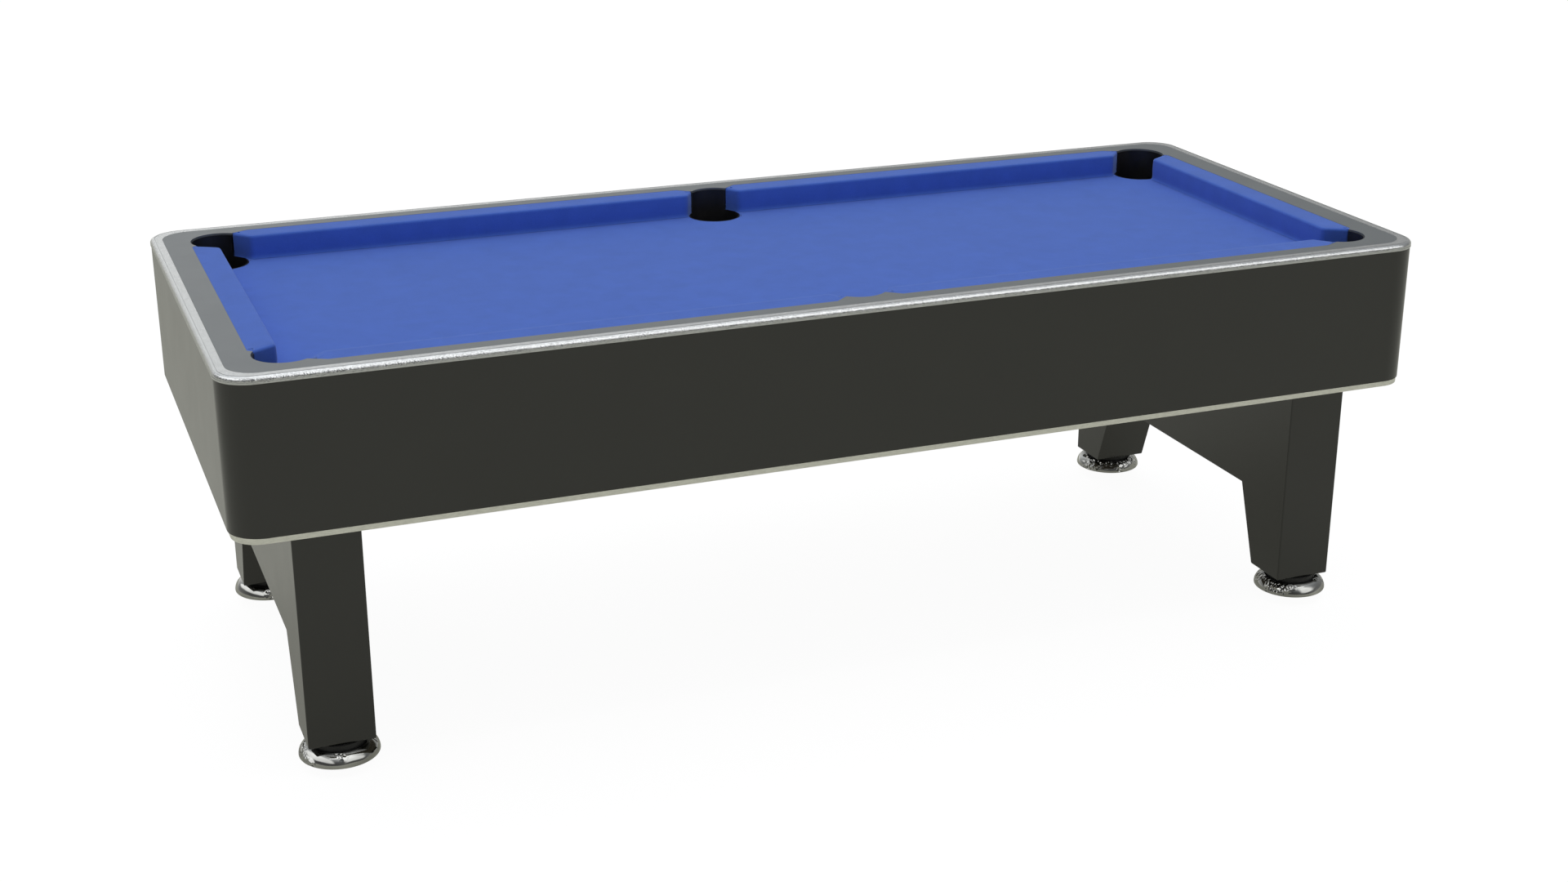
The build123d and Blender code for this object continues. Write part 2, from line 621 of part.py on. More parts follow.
# ---------------------------------------------------------------- leg frames
for side, sy in SIDES:
    for end, sx in ENDS:
        with BuildPart() as leg:
            with BuildSketch(Plane.YZ.offset(sx * LEG_X - LEG_WIDTH / 2)):
                with BuildLine():
                    Polyline(
                        (sy * LEG_OUTER_Y, BASE_BOTTOM),
                        (sy * LEG_OUTER_Y, LEG_BOTTOM),
                        (sy * LEG_INNER_FOOT_Y, LEG_BOTTOM),
                        (sy * LEG_INNER_TOP_Y, APRON_BOTTOM),
                        (sy * LEG_INNER_TOP_Y, BASE_BOTTOM),
                        close=True,
                    )
                make_face()
            extrude(amount=LEG_WIDTH)
            outer_edges = leg.edges().filter_by(Axis.Z).group_by(Axis.Y)[0 if sy < 0 else -1]
            fillet(outer_edges, LEG_EDGE)
            foot_edges = leg.faces().sort_by(Axis.Z)[0].edges()
            fillet(foot_edges, LEG_EDGE)
            with BuildSketch(Plane.XY.offset(BASE_BOTTOM)):
                with Locations((sx * LEG_X, sy * LEG_MID_Y)):
                    Rectangle(LEG_PLATE[0] + FIT_GAP, LEG_PLATE[1] + FIT_GAP)
            extrude(amount=-LEG_PLATE[2], mode=Mode.SUBTRACT)
            own_bolts = [(x, y) for x, y in LEG_BOLTS if x * sx > 0 and y * sy > 0]
            with Locations(*[(x, y, BASE_BOTTOM) for x, y in own_bolts]):
                Cylinder(
                    LEG_BOLT_RADIUS + RUNNING_FIT,
                    2 * LEG_BOLT_LENGTH,
                    mode=Mode.SUBTRACT,
                )
            with Locations((sx * FOOT_X, sy * FOOT_Y, LEG_BOTTOM)):
                Cylinder(
                    INSERT_RADIUS, 2 * (INSERT_LENGTH + FIT_GAP), mode=Mode.SUBTRACT
                )
                Cylinder(
                    STUD_RADIUS + 2 * HOLE_CLEARANCE,
                    2 * (STUD_TOP - LEG_BOTTOM + STUD_RADIUS / 2),
                    mode=Mode.SUBTRACT,
                )
        save(leg, f"leg_{side}_{end}")

for end, sx in ENDS:
    with BuildPart() as apron:
        with Locations((sx * LEG_X, 0, (APRON_BOTTOM + BASE_BOTTOM) / 2)):
            Box(LEG_WIDTH, 2 * LEG_INNER_TOP_Y, BASE_BOTTOM - APRON_BOTTOM)
        with Locations(
            (sx * LEG_X, 0, (APRON_BOTTOM + BASE_BOTTOM) / 2 + APRON_BOARD)
        ):
            Box(
                LEG_WIDTH - 2 * APRON_BOARD,
                2 * (LEG_INNER_TOP_Y - APRON_BOARD),
                BASE_BOTTOM - APRON_BOTTOM,
                mode=Mode.SUBTRACT,
            )
    save(apron, f"leg_apron_{end}")

with BuildPart() as leg_plates:
    with BuildSketch(Plane.XY.offset(BASE_BOTTOM - LEG_PLATE[2])):
        with GridLocations(2 * LEG_X, 2 * LEG_MID_Y, 2, 2):
            Rectangle(LEG_PLATE[0], LEG_PLATE[1])
        with Locations(*LEG_BOLTS):
            Circle(LEG_BOLT_RADIUS + HOLE_CLEARANCE, mode=Mode.SUBTRACT)
    extrude(amount=LEG_PLATE[2])
save(leg_plates, "leg_plates")

with BuildPart() as leg_bolts:
    for x, y in LEG_BOLTS:
        with BuildSketch(Plane.XY.offset(CABINET_BOTTOM)):
            with Locations((x, y)):
                RegularPolygon(LEG_BOLT_RADIUS * HEAD_RATIO, 6)
        extrude(amount=BOLT_HEAD_HEIGHT)
        with BuildSketch(Plane.XY.offset(CABINET_BOTTOM)):
            with Locations((x, y)):
                Circle(LEG_BOLT_RADIUS)
        extrude(amount=-LEG_BOLT_LENGTH)
save(leg_bolts, "leg_bolts")

# ---------------------------------------------------------------- levelling feet
with BuildPart() as foot_inserts:
    with BuildSketch(Plane.XY.offset(LEG_BOTTOM)):
        with GridLocations(2 * FOOT_X, 2 * FOOT_Y, 2, 2):
            Circle(INSERT_RADIUS)
            Circle(STUD_RADIUS + RUNNING_FIT, mode=Mode.SUBTRACT)
    extrude(amount=INSERT_LENGTH)
save(foot_inserts, "foot_inserts")

COLLAR_BOTTOM = FOOT_HEIGHT - FOOT_RIM + FIT_GAP
COLLAR_TOP = LEG_BOTTOM - FIT_GAP
for side, sy in SIDES:
    for end, sx in ENDS:
        axis = Axis((sx * FOOT_X, sy * FOOT_Y, 0), (0, 0, 1))
        centre = Plane(origin=(sx * FOOT_X, sy * FOOT_Y, 0), x_dir=(1, 0, 0), z_dir=(0, -1, 0))
        with BuildPart() as foot_base:
            with BuildSketch(centre):
                with BuildLine():
                    Line((0, 0), (FOOT_RADIUS - FOOT_EDGE, 0))
                    RadiusArc(
                        (FOOT_RADIUS - FOOT_EDGE, 0), (FOOT_RADIUS, FOOT_EDGE), -FOOT_EDGE
                    )
                    ThreePointArc(
                        (FOOT_RADIUS, FOOT_EDGE),
                        (FOOT_RADIUS - FOOT_SHOULDER[0], FOOT_SHOULDER[1]),
                        (FOOT_TOP_RADIUS, FOOT_HEIGHT),
                    )
                    Polyline(
                        (FOOT_TOP_RADIUS, FOOT_HEIGHT),
                        (FOOT_TOP_RADIUS - FOOT_LIP, FOOT_HEIGHT),
                        (FOOT_TOP_RADIUS - FOOT_RIM, FOOT_HEIGHT - FOOT_RIM),
                        (0, FOOT_HEIGHT - FOOT_RIM),
                        (0, 0),
                    )
                make_face()
            revolve(axis=axis)
            with Locations((sx * FOOT_X, sy * FOOT_Y, FOOT_HEIGHT - FOOT_RIM)):
                Cylinder(
                    STUD_RADIUS + RUNNING_FIT,
                    2 * (FOOT_SOCKET_DEPTH + FIT_GAP),
                    mode=Mode.SUBTRACT,
                )
        save(foot_base, f"foot_base_{side}_{end}")

        with BuildPart() as foot_stud:
            with BuildSketch(Plane.XY.offset(FOOT_HEIGHT - FOOT_RIM - FOOT_SOCKET_DEPTH)):
                with Locations((sx * FOOT_X, sy * FOOT_Y)):
                    Circle(STUD_RADIUS)
            extrude(amount=STUD_TOP - FOOT_HEIGHT + FOOT_RIM + FOOT_SOCKET_DEPTH)
            with BuildSketch(Plane.XY.offset(COLLAR_BOTTOM)):
                with Locations((sx * FOOT_X, sy * FOOT_Y)):
                    Circle(COLLAR_RADIUS)
            extrude(amount=COLLAR_TOP - COLLAR_BOTTOM)
        save(foot_stud, f"foot_stud_{side}_{end}")
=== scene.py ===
"""Looks for a six-pocket table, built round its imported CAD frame. Metres, in the frame's own axes.

The bed cloth and the six cushions are new cloth pieces that stand for their plain CAD solids.
Every other piece is the CAD's own mesh with a procedural material.
"""

import json
import math

import bpy
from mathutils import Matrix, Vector
from mathutils.geometry import delaunay_2d_cdt


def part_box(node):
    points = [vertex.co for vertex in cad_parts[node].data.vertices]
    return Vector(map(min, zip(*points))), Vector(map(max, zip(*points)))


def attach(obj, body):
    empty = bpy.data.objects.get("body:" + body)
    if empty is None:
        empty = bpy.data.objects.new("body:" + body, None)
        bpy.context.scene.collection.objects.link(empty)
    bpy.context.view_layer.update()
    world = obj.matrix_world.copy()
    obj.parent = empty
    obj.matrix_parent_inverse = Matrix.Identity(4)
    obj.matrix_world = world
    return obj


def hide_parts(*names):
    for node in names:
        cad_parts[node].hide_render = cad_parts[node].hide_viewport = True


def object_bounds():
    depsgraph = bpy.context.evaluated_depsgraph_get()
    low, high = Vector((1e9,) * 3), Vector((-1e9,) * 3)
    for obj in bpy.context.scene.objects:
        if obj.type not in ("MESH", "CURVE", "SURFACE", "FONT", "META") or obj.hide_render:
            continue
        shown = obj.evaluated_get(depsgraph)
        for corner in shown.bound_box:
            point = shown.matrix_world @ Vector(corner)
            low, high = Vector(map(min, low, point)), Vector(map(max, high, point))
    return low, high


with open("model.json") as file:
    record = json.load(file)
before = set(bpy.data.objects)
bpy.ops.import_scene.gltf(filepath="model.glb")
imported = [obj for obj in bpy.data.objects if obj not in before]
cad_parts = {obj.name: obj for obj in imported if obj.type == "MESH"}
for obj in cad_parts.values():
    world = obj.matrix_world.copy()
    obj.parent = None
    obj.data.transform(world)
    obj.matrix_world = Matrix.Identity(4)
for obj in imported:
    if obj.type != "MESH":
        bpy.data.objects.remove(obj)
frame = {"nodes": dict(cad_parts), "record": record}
CAD_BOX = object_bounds()

# ---------------------------------------------------------------- camera
CAMERA_PLACE = (-1.6222, -4.1426, 1.9882)
CAMERA_YAW = 0.3750
CAMERA_PITCH = 0.3542
CAMERA_LENS = 50.0
CAMERA_SENSOR = 36.0

# ---------------------------------------------------------------- names
SIDES = ("front", "rear")
ENDS = ("left", "right")
POCKET_PLACES = ("left", "middle", "right")

# ---------------------------------------------------------------- cushion sizes
FLARE = 0.0045  # how far the cloth's foot reaches out on the bed
FLARE_RISE = 0.008
FLARE_STEPS = 5
FACE_BULGE = 0.0008
FACE_STEPS = 5
NOSE_ROLL = 0.0055  # radius of the rolled upper edge
NOSE_STEPS = 6
CROWN = 0.0006
CROWN_ROWS = ((0.50, 0.0025), (0.85, 0.006), (1.0, 0.010))  # share of the crown, inset from the roll
CUSHION_CORNER = 0.0035  # radius of the cushion's upright corners
CUSHION_CORNER_STEPS = 5
CUSHION_STEP = 0.008  # spacing of the points along a cushion
SHARP_TURN = math.radians(20)
EDGE_SHARE = 1 / 3  # how much of an edge one rounded corner may take up
RAIL_SIDE = 0.35  # an outline point that faces the rail more squarely than this stays on it

# ---------------------------------------------------------------- bed cloth sizes
SHEET_THICKNESS = 0.0008
BED_CORNER = 0.056
BED_CORNER_STEPS = 8
MOUTH_STEPS = 72
# across the fold round a pocket: distance outside the sleeve, depth below the cloth's face
MOUTH_FOLD = (
    (0.0042, 0.0),
    (0.0024, 0.0003),
    (0.0012, 0.0011),
    (0.0007, 0.0024),
    (0.0006, 0.0060),
)

# ---------------------------------------------------------------- tolerances
LEVEL_GAP = 1e-4  # a vertex this close to a level lies on it
PLACES = 5  # decimals that tell two plan points apart
MERGE_GAP = 1e-6
EDGE_GAP = 1e-9

# ---------------------------------------------------------------- floor sizes
HALF_FLOOR = 40.0
FOOT_TRAVEL = 0.020  # the floor clears a foot that is screwed all the way down
FLOOR_GAP = 0.0005

# ---------------------------------------------------------------- studio
# Each list gives (place, brightness) along one axis of the direction, which runs from -1 to 1.
# The surroundings are the product of the three here.
SKY_HEIGHT = (
    (0.0, (0.84, 0.84, 0.82)),
    (0.14, (0.58, 0.58, 0.57)),
    (0.22, (0.51, 0.52, 0.52)),
    (0.33, (0.53, 0.54, 0.54)),
    (0.55, (0.48, 0.50, 0.52)),
    (0.78, (0.95, 0.97, 1.0)),
    (1.0, (1.15, 1.17, 1.2)),
)
SKY_X = ((-1.0, 0.25), (-0.3, 0.85), (0.0, 1.40), (0.28, 0.98), (0.54, 0.64), (1.0, 0.60))
SKY_Y = ((-1.0, 0.16), (0.0, 0.85), (1.0, 1.30))

# A bright card in front of the table, again a product. Only gloss picks it up.
FRONT_CARD_HEIGHT = ((-1.0, 0.0), (0.22, 0.0), (0.35, 1.0), (1.0, 1.0))
FRONT_CARD_X = ((-1.0, 0.0), (0.04, 0.0), (0.20, 1.0), (0.76, 1.0), (0.90, 0.0), (1.0, 0.0))
FRONT_CARD_Y = ((-1.0, 0.4), (-0.84, 1.3), (-0.44, 1.3), (-0.18, 0.1), (0.0, 0.0), (1.0, 0.0))

# A second card on the left, for gloss only too.
LEFT_CARD_HEIGHT = ((-1.0, 0.0), (0.34, 0.0), (0.46, 1.0), (1.0, 1.0))
LEFT_CARD_X = ((-1.0, 0.3), (-0.85, 1.2), (-0.50, 1.2), (-0.38, 0.0), (1.0, 0.0))

# A weak fill from low in front, for diffuse light only. It lifts the far cushions' faces.
FILL_HEIGHT = ((-1.0, 0.0), (0.0, 1.0), (0.35, 1.0), (0.60, 0.0), (1.0, 0.0))
FILL_Y = ((-1.0, 0.14), (-0.30, 0.14), (0.0, 0.0), (1.0, 0.0))


# ---------------------------------------------------------------- colour helpers
def grey(value):
    return (value, value, value)


def shades(colour, spread):
    """A darker and a lighter version of a colour."""
    darker = tuple(c * (1 - spread) for c in colour)
    lighter = tuple(min(1.0, c * (1 + spread)) for c in colour)
    return darker, lighter


# ---------------------------------------------------------------- node helpers
class Graph:
    """Adds and joins nodes in a shader tree."""

    def __init__(self, tree):
        self.tree = tree

    def add(self, kind, **values):
        node = self.tree.nodes.new(kind)
        for key, value in values.items():
            setattr(node, key, value)
        return node

    def join(self, output, socket):
        self.tree.links.new(output, socket)

    def set(self, node, **values):
        """Sets a node's own sockets; an underscore stands for a space in the name."""
        for key, value in values.items():
            node.inputs[key.replace("_", " ")].default_value = value

    def ramp(self, value, stops):
        """A colour ramp; stops are (position, colour)."""
        node = self.add("ShaderNodeValToRGB")
        points = node.color_ramp.elements
        for point, (position, colour) in zip(points, (stops[0], stops[-1])):
            point.position, point.color = position, (*colour, 1)
        for position, colour in stops[1:-1]:
            points.new(position).color = (*colour, 1)
        self.join(value, node.inputs["Fac"])
        return node.outputs["Color"]

    def combine(self, kind, first, *others):
        """Colours multiplied or added together, in turn."""
        result = first
        for other in others:
            node = self.add("ShaderNodeMix", data_type="RGBA", blend_type=kind)
            self.set(node, Factor=1.0)
            self.join(result, node.inputs["A"])
            self.join(other, node.inputs["B"])
            result = node.outputs["Result"]
        return result

    def seen_or_lit(self, seen, lit, surface):
        """One shader for what the camera sees directly, another for reflections and bounced light."""
        path = self.add("ShaderNodeLightPath")
        either = self.add("ShaderNodeMixShader")
        self.join(path.outputs["Is Camera Ray"], either.inputs["Fac"])
        self.join(lit, either.inputs[1])
        self.join(seen, either.inputs[2])
        self.join(either.outputs["Shader"], surface)


class Look(Graph):
    """A new material with its main shader and object coordinates."""

    def __init__(self, name):
        self.material = bpy.data.materials.new(name)
        self.material.use_nodes = True
        super().__init__(self.material.node_tree)
        self.shader = self.tree.nodes["Principled BSDF"]
        self.place = self.add("ShaderNodeTexCoord").outputs["Object"]

    def stretch(self, scale):
        """Object coordinates, scaled along each axis."""
        node = self.add("ShaderNodeMapping")
        self.set(node, Scale=scale)
        self.join(self.place, node.inputs["Vector"])
        return node.outputs["Vector"]

    def noise(self, scale, detail, roughness, vector=None, distortion=0.0):
        node = self.add("ShaderNodeTexNoise")
        self.set(node, Scale=scale, Detail=detail, Roughness=roughness, Distortion=distortion)
        self.join(vector or self.place, node.inputs["Vector"])
        return node.outputs["Fac"]

    def cells(self, scale, vector=None):
        """The distance to the nearest of many scattered points."""
        node = self.add("ShaderNodeTexVoronoi")
        self.set(node, Scale=scale)
        self.join(vector or self.place, node.inputs["Vector"])
        return node.outputs["Distance"]

    def span(self, value, low, high):
        """value from 0..1 to low..high."""
        node = self.add("ShaderNodeMapRange")
        self.set(node, To_Min=low, To_Max=high)
        self.join(value, node.inputs["Value"])
        return node.outputs["Result"]

    def bump(self, height, strength, distance, under=None):
        """A normal that follows height, on top of the normal under it."""
        node = self.add("ShaderNodeBump")
        self.set(node, Strength=strength, Distance=distance)
        self.join(height, node.inputs["Height"])
        if under is not None:
            self.join(under, node.inputs["Normal"])
        return node.outputs["Normal"]

    def material_with(self, colour=None, rough=None, normal=None, **values):
        """Joins the main shader's sockets, and sets those that are the same all over."""
        self.set(self.shader, **values)
        for output, socket in ((colour, "Base Color"), (rough, "Roughness"), (normal, "Normal")):
            if output is not None:
                self.join(output, self.shader.inputs[socket])
        return self.material


# ---------------------------------------------------------------- materials
def cloth_material():
    """Worsted billiard cloth: a fine yarn under a short nap, with soft mottling."""
    look = Look("cloth_blue")
    dark, light = shades((0.077, 0.178, 0.700), spread=0.05)
    mottle = look.noise(scale=22.0, detail=4.0, roughness=0.6)
    base = look.ramp(mottle, ((0.30, dark), (0.70, light)))
    fibre = look.noise(scale=900.0, detail=3.0, roughness=0.7)
    flecks = look.ramp(fibre, ((0.35, (0.86, 0.88, 0.91)), (0.68, (1.10, 1.08, 1.05))))
    yarn = look.cells(scale=1400.0, vector=look.stretch((1.0, 0.6, 1.0)))
    yarn_bump = look.bump(yarn, strength=0.20, distance=0.0004)
    return look.material_with(
        colour=look.combine("MULTIPLY", base, flecks),
        normal=look.bump(fibre, strength=0.30, distance=0.0005, under=yarn_bump),
        Roughness=0.95,
        Specular_IOR_Level=0.15,
        Sheen_Weight=0.27,
        Sheen_Roughness=0.5,
        Sheen_Tint=(0.83, 0.93, 0.75, 1.0),
    )


def laminate_material(name, colour, gloss_low, gloss_high):
    """Satin laminate with a faint pressed grain and slow shade changes."""
    look = Look(name)
    dark, light = shades(colour, spread=0.07)
    shade = look.noise(scale=7.0, detail=3.0, roughness=0.55)
    smudge = look.noise(scale=11.0, detail=4.0, roughness=0.6)
    grain = look.noise(scale=240.0, detail=2.0, roughness=0.6)
    grain_bump = look.bump(grain, strength=0.05, distance=0.0004)
    return look.material_with(
        colour=look.ramp(shade, ((0.30, dark), (0.72, light))),
        rough=look.span(smudge, gloss_low, gloss_high),
        normal=look.bump(look.cells(scale=520.0), strength=0.04, distance=0.0003, under=grain_bump),
        Specular_IOR_Level=0.75,
    )


def metal_material(name, colour, rough_low, rough_high, bump, scale, brushed):
    """Metal with drawn lines, or an even mottle. brushed scales them on each axis."""
    look = Look(name)
    dark, light = shades(colour, spread=0.10)
    lines = look.noise(scale=scale, detail=3.0, roughness=0.6, vector=look.stretch(brushed))
    return look.material_with(
        colour=look.ramp(lines, ((0.32, dark), (0.68, light))),
        rough=look.span(lines, rough_low, rough_high),
        normal=look.bump(lines, strength=bump, distance=0.0008),
        Metallic=1.0,
    )


def moulding_material():
    """Drawn aluminium: satin, with small ripples that glitter along the rounded edge."""
    look = Look("moulding_aluminium")
    dark, light = shades((0.60, 0.61, 0.61), spread=0.08)
    drawn = look.noise(scale=60.0, detail=4.0, roughness=0.65, vector=look.stretch((1.0, 1.0, 6.0)))
    drawn_bump = look.bump(drawn, strength=0.10, distance=0.0005)
    ripple = look.noise(scale=240.0, detail=2.0, roughness=0.6)
    return look.material_with(
        colour=look.ramp(drawn, ((0.30, dark), (0.70, light))),
        rough=look.span(drawn, low=0.12, high=0.24),
        normal=look.bump(ripple, strength=0.80, distance=0.0012, under=drawn_bump),
        Metallic=1.0,
    )


def chrome_material():
    """Bright plating over a cast dome: the surface waves, and has patches of small dents."""
    look = Look("foot_chrome")
    haze = look.noise(scale=18.0, detail=2.0, roughness=0.5)
    gloss = look.noise(scale=50.0, detail=3.0, roughness=0.6)
    waves = look.noise(scale=27.0, detail=0.0, roughness=0.4)
    patchy = look.noise(scale=17.0, detail=1.0, roughness=0.4)
    dents = look.ramp(look.cells(scale=130.0), ((0.0, grey(0.0)), (0.7, grey(1.0))))
    patches = look.ramp(patchy, ((0.48, grey(0.0)), (0.60, grey(1.0))))
    dented = look.combine("MULTIPLY", dents, patches)
    wave_bump = look.bump(waves, strength=0.6, distance=0.007)
    return look.material_with(
        colour=look.ramp(haze, ((0.3, (0.34, 0.34, 0.325)), (0.7, (0.52, 0.52, 0.50)))),
        rough=look.span(gloss, low=0.05, high=0.14),
        normal=look.bump(dented, strength=0.8, distance=0.005, under=wave_bump),
        Metallic=1.0,
    )


def plastic_material(name, colour, rough_low, rough_high):
    """Moulded plastic with a fine spark-eroded texture."""
    look = Look(name)
    dark, light = shades(colour, spread=0.25)
    cloud = look.noise(scale=38.0, detail=3.0, roughness=0.6)
    gloss = look.noise(scale=75.0, detail=2.0, roughness=0.5)
    sparks = look.noise(scale=700.0, detail=2.0, roughness=0.6)
    return look.material_with(
        colour=look.ramp(cloud, ((0.3, dark), (0.7, light))),
        rough=look.span(gloss, rough_low, rough_high),
        normal=look.bump(sparks, strength=0.15, distance=0.0003),
    )


def wood_material(name, dark, light, along):
    """Sawn timber: wavy grain under fine lines. along scales both on each axis."""
    look = Look(name)
    place = look.stretch(along)
    rings = look.noise(scale=16.0, detail=6.0, roughness=0.6, vector=place, distortion=1.2)
    fine = look.noise(scale=90.0, detail=4.0, roughness=0.7, vector=place)
    base = look.ramp(rings, ((0.30, dark), (0.52, light), (0.72, dark)))
    lines = look.ramp(fine, ((0.30, (0.82, 0.80, 0.78)), (0.70, grey(1.05))))
    return look.material_with(
        colour=look.combine("MULTIPLY", base, lines),
        normal=look.bump(fine, strength=0.3, distance=0.0006),
        Roughness=0.72,
    )


def board_material():
    """Pressed fibreboard with flecks."""
    look = Look("raw_board")
    chips = look.cells(scale=160.0)
    base = look.ramp(chips, ((0.0, (0.050, 0.042, 0.034)), (0.8, (0.095, 0.080, 0.064))))
    cloudy = look.noise(scale=6.0, detail=3.0, roughness=0.6)
    cloud = look.ramp(cloudy, ((0.3, grey(0.85)), (0.7, grey(1.1))))
    fibres = look.noise(scale=300.0, detail=3.0, roughness=0.6)
    return look.material_with(
        colour=look.combine("MULTIPLY", base, cloud),
        normal=look.bump(fibres, strength=0.25, distance=0.0005),
        Roughness=0.85,
    )


def slate_material():
    """Honed slate: dark, with faint layers."""
    look = Look("honed_slate")
    place = look.stretch((1.0, 2.5, 6.0))
    layers = look.noise(scale=9.0, detail=6.0, roughness=0.65, vector=place, distortion=0.8)
    honing = look.noise(scale=140.0, detail=4.0, roughness=0.7)
    return look.material_with(
        colour=look.ramp(layers, ((0.3, (0.055, 0.062, 0.070)), (0.7, (0.12, 0.13, 0.14)))),
        rough=look.span(layers, low=0.45, high=0.7),
        normal=look.bump(honing, strength=0.2, distance=0.0008),
    )


BLACK = (0.0150, 0.0150, 0.0120)
MATERIALS = {
    "cloth": cloth_material(),
    "rail_grey": laminate_material(
        "rail_grey", (0.138, 0.152, 0.157), gloss_low=0.36, gloss_high=0.46
    ),
    "moulding": moulding_material(),
    "cabinet_black": laminate_material("cabinet_black", BLACK, gloss_low=0.17, gloss_high=0.22),
    "bottom_trim": metal_material(
        "bottom_trim",
        (0.83, 0.83, 0.765),
        rough_low=0.30,
        rough_high=0.42,
        bump=0.10,
        scale=90.0,
        brushed=(1.0, 1.0, 5.0),
    ),
    "leg_black": laminate_material("leg_black", BLACK, gloss_low=0.17, gloss_high=0.22),
    "foot_chrome": chrome_material(),
    "foot_black": plastic_material("foot_black", grey(0.010), rough_low=0.42, rough_high=0.60),
    "liner": plastic_material("liner", (0.008, 0.008, 0.009), rough_low=0.34, rough_high=0.52),
    "runway": plastic_material("runway", (0.020, 0.020, 0.021), rough_low=0.37, rough_high=0.55),
    "slate": slate_material(),
    "frame_wood": wood_material(
        "frame_wood", dark=(0.30, 0.19, 0.10), light=(0.52, 0.37, 0.22), along=(0.6, 6.0, 6.0)
    ),
    "core_wood": wood_material(
        "core_wood", dark=(0.26, 0.17, 0.10), light=(0.45, 0.33, 0.21), along=(0.8, 5.0, 5.0)
    ),
    "board": board_material(),
    "zinc": metal_material(
        "zinc_plate",
        (0.55, 0.56, 0.56),
        rough_low=0.28,
        rough_high=0.45,
        bump=0.15,
        scale=120.0,
        brushed=(1.0, 1.0, 1.0),
    ),
}

# ---------------------------------------------------------------- CAD nodes keep their meshes
for part in frame["record"]["subparts"]:
    cad = frame["nodes"][part["node"]]
    cad.data.materials.clear()
    cad.data.materials.append(MATERIALS[part["material_slot"]])


# ---------------------------------------------------------------- mesh helpers
def new_piece(name, points, faces, material):
    """Adds a mesh object in the frame's axes. Its quads are smooth and its other faces flat."""
    mesh = bpy.data.meshes.new(name)
    mesh.from_pydata(points, [], faces)
    mesh.validate()
    mesh.update()
    for face in mesh.polygons:
        face.use_smooth = len(face.vertices) == 4
    piece = bpy.data.objects.new(name, mesh)
    bpy.context.scene.collection.objects.link(piece)
    mesh.materials.append(material)
    return piece


def ring_faces(lower, upper):
    """Quads between two closed rings of point numbers."""
    count = len(lower)
    nexts = [(i + 1) % count for i in range(count)]
    return [(lower[i], lower[j], upper[j], upper[i]) for i, j in enumerate(nexts)]


def top_outline(node):
    """The convex plan outline of a CAD node's upper face, counter-clockwise."""
    _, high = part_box(node)
    spots = {
        (round(v.co.x, PLACES), round(v.co.y, PLACES))
        for v in frame["nodes"][node].data.vertices
        if v.co.z > high.z - LEVEL_GAP
    }
    middle = sum((Vector(spot) for spot in spots), Vector((0.0, 0.0))) / len(spots)
    return sorted(
        (Vector(spot) for spot in spots),
        key=lambda spot: math.atan2(spot.y - middle.y, spot.x - middle.x),
    )


def soften(outline, radius, steps):
    """Rounds each sharp corner of a convex outline with a short curve."""
    done = []
    for i, corner in enumerate(outline):
        before, after = outline[i - 1], outline[(i + 1) % len(outline)]
        into, out = corner - before, after - corner
        turn = into.angle(out)
        if turn < SHARP_TURN:
            done.append(corner)
            continue
        reach = min(radius * math.tan(turn / 2), into.length * EDGE_SHARE, out.length * EDGE_SHARE)
        start = corner - into.normalized() * reach
        end = corner + out.normalized() * reach
        for k in range(steps + 1):
            t = k / steps
            done.append(start * (1 - t) ** 2 + corner * 2 * t * (1 - t) + end * t**2)
    return done


def densify(outline, step):
    """Adds points along long edges."""
    dense = []
    for i, a in enumerate(outline):
        b = outline[(i + 1) % len(outline)]
        count = max(1, round((b - a).length / step))
        dense += [a.lerp(b, k / count) for k in range(count)]
    return dense


def inward_normals(outline):
    """The inward unit normal at each point of a counter-clockwise outline."""
    normals = []
    for i in range(len(outline)):
        along = outline[(i + 1) % len(outline)] - outline[i - 1]
        normals.append(Vector((-along.y, along.x)).normalized())
    return normals


# ---------------------------------------------------------------- cushions
def cushion_levels(low, high):
    """Rows of points from the bed up: height, flare share, inset and bulge share."""
    levels = []
    for k in range(FLARE_STEPS + 1):
        angle = k / FLARE_STEPS * math.pi / 2
        levels.append((low + FLARE_RISE * (1 - math.cos(angle)), 1 - math.sin(angle), 0.0, 0.0))
    face_low, face_high = low + FLARE_RISE, high - NOSE_ROLL
    for k in range(1, FACE_STEPS):
        t = k / FACE_STEPS
        levels.append((face_low + (face_high - face_low) * t, 0.0, 0.0, math.sin(t * math.pi)))
    for k in range(NOSE_STEPS + 1):
        angle = k / NOSE_STEPS * math.pi / 2
        inset = NOSE_ROLL * (1 - math.cos(angle))
        levels.append((face_high + NOSE_ROLL * math.sin(angle), 0.0, inset, 0.0))
    for share, inset in CROWN_ROWS:
        levels.append((high + CROWN * share, 0.0, NOSE_ROLL + inset, 0.0))
    return levels


